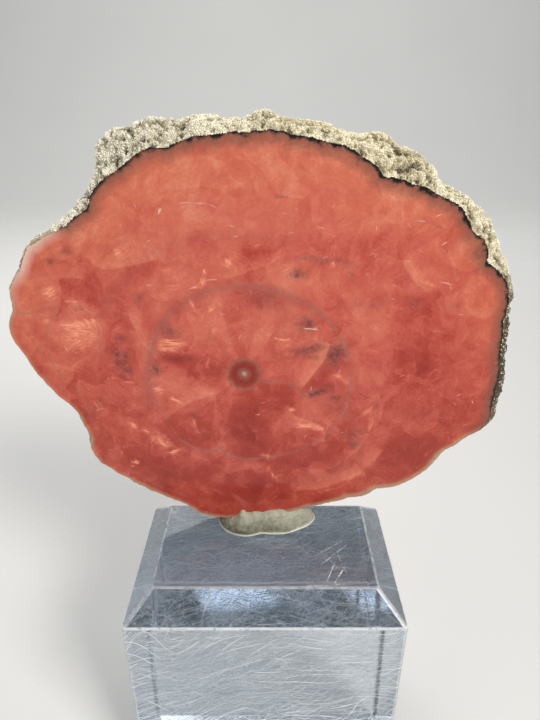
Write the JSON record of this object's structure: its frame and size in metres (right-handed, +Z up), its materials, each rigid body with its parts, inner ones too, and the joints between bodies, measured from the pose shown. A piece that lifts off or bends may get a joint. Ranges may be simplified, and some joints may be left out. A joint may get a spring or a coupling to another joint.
{
  "type": "rhodochrosite slice",
  "caption": "Polished cross slice of a stalactitic pink-red banded mineral with its natural rind, set upright in putty on a clear acrylic block.",
  "frame": {"origin": "centre of the acrylic block's underside, at the level that the block stands on", "axes": "+Z up through the block and the slice, -Y the way the polished face looks, +X to the right as seen from the front"},
  "size_m": [0.0891, 0.0318, 0.1289],
  "materials": {
    "rhodochrosite": "polished",
    "putty": "matte",
    "acrylic": "gloss"
  },
  "bodies": {
    "root": {"rhodochrosite_slice": "rhodochrosite", "mineral_putty": "putty", "acrylic_block": "acrylic"}
  },
  "joints": []
}
